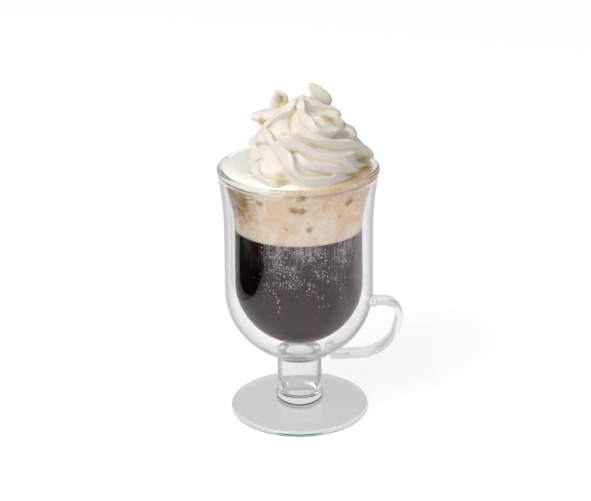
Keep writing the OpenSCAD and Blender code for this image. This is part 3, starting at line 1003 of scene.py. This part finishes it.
# The left ear and its two folds, the right ear, the left fin, the two right fins and the broad
# lobe at the lower right: the places each runs through, its half widths and half thicknesses
# there, all in mm, and the direction of its width
swirl_fins = (
    (((-6, 2, 166), (-10, 2, 171), (-12, 1.5, 175.5), (-11.8, 1, 178.6), (-10.4, 0.5, 180.8)),
     (5, 3.8, 2.9, 2.2, 1.3), (3, 2.4, 1.8, 1.5, 1), (1, 0.3, 0)),
    (((-10.6, 0.6, 180.6), (-8.2, 0.3, 178.8), (-7, 0, 175.5), (-6.6, 0, 170)),
     (1.2, 1.4, 1.5, 2.2), (1, 1.2, 1.3, 2), (0, 1, 0)),
    (((-9, 3, 168), (-9.2, 3, 173), (-9.4, 2.6, 177), (-9.6, 2, 179.6)),
     (3, 2.8, 2.4, 1.2), (1.2, 1, 0.9, 0.7), (1, 0.2, 0)),
    (((8, 3, 166), (10.6, 2, 171), (11.2, 1.4, 174.6), (10, 0.6, 177.6), (7.8, 0, 180.2),
      (5.2, -0.5, 182.2)),
     (6.4, 6.2, 5.9, 5.3, 4, 1.4), (3.5, 3, 2.6, 2.1, 1.5, 0.7), (0.86, 0.2, 0.5)),
    (((-5, -2, 166), (-12, -4, 167.6), (-18, -4.5, 167), (-23.4, -4, 166.8)),
     (7, 6.5, 5, 1.6), (5.2, 4.8, 3.7, 1.4), (0, 1, -0.3)),
    (((9, -3, 164), (16, -4, 167), (20, -4, 168), (23, -4, 168.6)),
     (6, 5.5, 4.2, 1.3), (4, 3.4, 2.6, 1.1), (0, 1, 0.3)),
    (((15, -6, 156), (23, -7, 158), (27.5, -7, 158), (30, -7, 156.6)),
     (9, 8, 6, 2), (5, 4.6, 3.6, 1.6), (0, 1, 0.2)),
    (((16, -3, 148), (26, -4, 149.5), (33, -5, 149), (38.4, -5, 146.8)),
     (14, 12, 8, 2.5), (5, 5, 4, 1.6), (0, 1, 0.1)),
)
for through, widths, thicknesses, wide in swirl_fins:
    swirl_parts.append(leaf(through, widths, thicknesses, wide))

# The big ropes on the front, each by the places it runs through, in mm, and its half width
swirl_ropes = (
    (((-20, -7, 159.4), (-21.6, -9, 154.4), (-22.2, -17, 150), (-21, -24.4, 146),
      (-17.2, -29.8, 143.2), (-10.6, -33.8, 142.3), (-1.6, -35.3, 142)), 3),
    (((-16.6, -15.9, 163), (-13, -23.7, 160.1), (-9.3, -28.4, 157), (-5.7, -33, 153.9),
      (-3.1, -35.4, 150), (0.5, -36, 146.2), (5.7, -35.6, 144), (12.4, -33.8, 143.2),
      (20.4, -29.6, 143.2), (26, -24.6, 144.2)), 3),
    (((-13.5, -24.1, 159.1), (-7.3, -27.7, 159.9), (-0.5, -30.2, 159.3), (8.8, -32, 156.4),
      (18.1, -31.6, 152.8), (25.4, -29.2, 148.4), (29.5, -26, 144.6)), 3.2),
    (((-1, -33.3, 155.1), (3.6, -35.4, 152.8), (11.4, -36, 150.9), (18.7, -34.2, 148.4),
      (24.9, -30.6, 146)), 2.2),
    (((-0.5, -5.5, 176.3), (-4.1, -10.8, 172.3), (-9.8, -12.5, 169.2), (-15, -12.1, 166.4),
      (-18.1, -12.8, 162.9), (-18.1, -16.5, 160.6), (-15.5, -22.1, 158.9)), 2.6),
    (((2.1, -5.4, 176.7), (2.6, -11.1, 173.5), (4.1, -17, 170.4), (5.7, -22, 167.4),
      (9.8, -23.6, 165.5), (16.6, -21, 164.6), (24, -13, 163)), 2.6),
    (((-9.3, -23.2, 163.4), (0, -27, 163), (9.3, -27.2, 162.2), (19.7, -24.6, 159.3),
      (30.1, -17.2, 154.7), (35.8, -10.9, 149.9)), 3),
    (((4.1, -3.1, 177), (8.8, -3.5, 174), (14, -3.8, 171.5), (19.2, -4, 169.4),
      (22, -4.3, 167.5)), 2.4),
)
# Shares of that half width, and how sharp a rope's edge and the crest on it are
rope_end = 0.45
rope_wide, rope_thick = 1.35, 1.05
crest_raised, crest_thick = 0.65, 0.4
rope_edge = 1.35
outward = (0.3, -0.8, 0.5)
for through, half in swirl_ropes:
    halves = np.full(len(through), float(half))
    halves[[0, -1]] *= rope_end
    swirl_parts.append(leaf(through, rope_wide * halves, rope_thick * halves, outward, rope_edge))
    raised = np.array(through) + crest_raised * halves[:, None] * np.array(outward)
    swirl_parts.append(leaf(raised, halves, crest_thick * halves, outward, rope_edge))

# All parts are one skin, cut off a little under the swirl's seat
deepest = swirl_seat - 1.2 * MM
points, faces = [], []
for part_points, part_faces in swirl_parts:
    faces += [tuple(len(points) + i for i in face) for face in part_faces]
    points += [(x * MM, y * MM, max(z * MM, deepest)) for x, y, z in part_points]
rope_mesh = bpy.data.meshes.new("whipped_swirl")
rope_mesh.from_pydata(points, [], faces)
builder = bmesh.new()
builder.from_mesh(rope_mesh)
bmesh.ops.recalc_face_normals(builder, faces=builder.faces)
builder.to_mesh(rope_mesh)
builder.free()
swirl = stand("whipped_swirl", rope_mesh)
skin_over = swirl.modifiers.new("one_body", "REMESH")
skin_over.mode = "VOXEL"
skin_over.voxel_size = 0.46 * MM
soften = swirl.modifiers.new("soften", "SMOOTH")
soften.factor = 0.5
soften.iterations = 3
made = settle(swirl)
made.shade_smooth()


def read(items, name, width, kind=float):
    """One value of every vertex or edge, as the rows of an array."""
    rows = np.empty(len(items) * width, dtype=kind)
    items.foreach_get(name, rows)
    return rows.reshape(-1, width)


# Soft cream sways a little from the nozzle's path, here by up to 1.3 mm
spots = read(made.vertices, "co", 3)
x, y, z = spots.T / MM
sway = np.stack([0.9 * np.sin(0.36 * z + 0.15 * y + 0.4) + 0.4 * np.sin(0.5 * y + 1.2),
                 0.8 * np.sin(0.32 * x + 0.2 * z),
                 0.9 * np.sin(0.27 * x - 0.22 * y + 0.9) + 0.4 * np.sin(0.5 * y + 0.25 * x)], -1)
spots = spots + sway * MM
# The foot stays inside the glass's mouth, and over the rim it may lean out a little
mouth_gap = 0.5 * MM
overhang = 2.6 * MM
over_rim = ramp(spots[:, 2] - mug_h - 1 * MM, 0, 4 * MM)
room_out = (mouth_r - mouth_gap) + overhang * over_rim
out = np.hypot(spots[:, 0], spots[:, 1])
spots[:, :2] *= np.minimum(1, room_out / out)[:, None]
made.vertices.foreach_set("co", spots.ravel())
made.update()
# How deep each vertex lies in a dent, in mm: the finish is darker there, as painted shade in the
# creases
normals = read(made.vertices, "normal", 3)
ends = read(made.edges, "vertices", 2, np.int64)
beside = np.bincount(ends.ravel(), minlength=len(spots))
evened_times = 14


def evened(values):
    """Each vertex's value becomes the mean of its neighbours'."""
    total = np.stack([np.bincount(ends[:, 0], values[ends[:, 1], k], len(spots))
                      + np.bincount(ends[:, 1], values[ends[:, 0], k], len(spots))
                      for k in range(values.shape[1])], -1)
    return total / beside[:, None]


around = spots
for _ in range(evened_times):
    around = evened(around)
dent = ((around - spots) * normals).sum(-1) / MM
hollow = made.attributes.new("hollow", "FLOAT", "POINT")
hollow.data.foreach_set("value", dent.astype(np.float32))

whip_crest = (0.875, 0.83, 0.735)
whip_shade = (0.79, 0.73, 0.57)
whip_blush = (0.835, 0.77, 0.73)
whip_stain = (0.58, 0.42, 0.11)
# Middle and size of each place where coffee has stained the swirl, in mm, and how strongly
whip_stains = (((15, -14, 168.5), 6, 0.75), ((33, -12, 144.4), 6, 0.85),
               ((25.4, -26, 145.5), 5, 0.7), ((28, -25, 143), 5, 0.75), ((-8, -35, 143.2), 6, 0.5),
               ((-19.5, -14, 157.5), 4, 0.7), ((-19, -25, 150), 3, 0.7),
               ((-16.5, -8, 165.5), 5.5, 0.75), ((-8, -1, 175), 4, 0.6), ((19, -10, 160), 3, 0.4))
piped = Finish(bpy.data.materials.new("piped_cream"))
dent_shade = piped.node("ShaderNodeAttribute", {"attribute_name": "hollow"}, out="Fac")
drift = piped.noise(piped.place(), 75)
grain = piped.noise(piped.place(), 900, roughness=0.6)
colour = piped.blend(drift.above(0.4, 0.62), whip_crest, whip_blush)
# Painted shade: the dents take the darker, yellower shade colour
colour = piped.blend(dent_shade.above(-0.02, 0.2), colour, whip_shade)
frayed_place = frayed(piped, 300)
for middle, size, strength in whip_stains:
    stain = spot(frayed_place, middle, size, 0.3)
    colour = piped.blend(stain * strength, colour, whip_stain)
fine_skin = piped.node("ShaderNodeBump", None, {
    "Strength": 0.25, "Distance": 0.25 * MM, "Height": grain})
white = piped.node("ShaderNodeBsdfPrincipled", None, {
    "Base Color": colour, "Roughness": 0.42, "Normal": fine_skin})
swirl.data.materials.append(piped.end(white))
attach(swirl, "root")
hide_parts("whipped_cream")
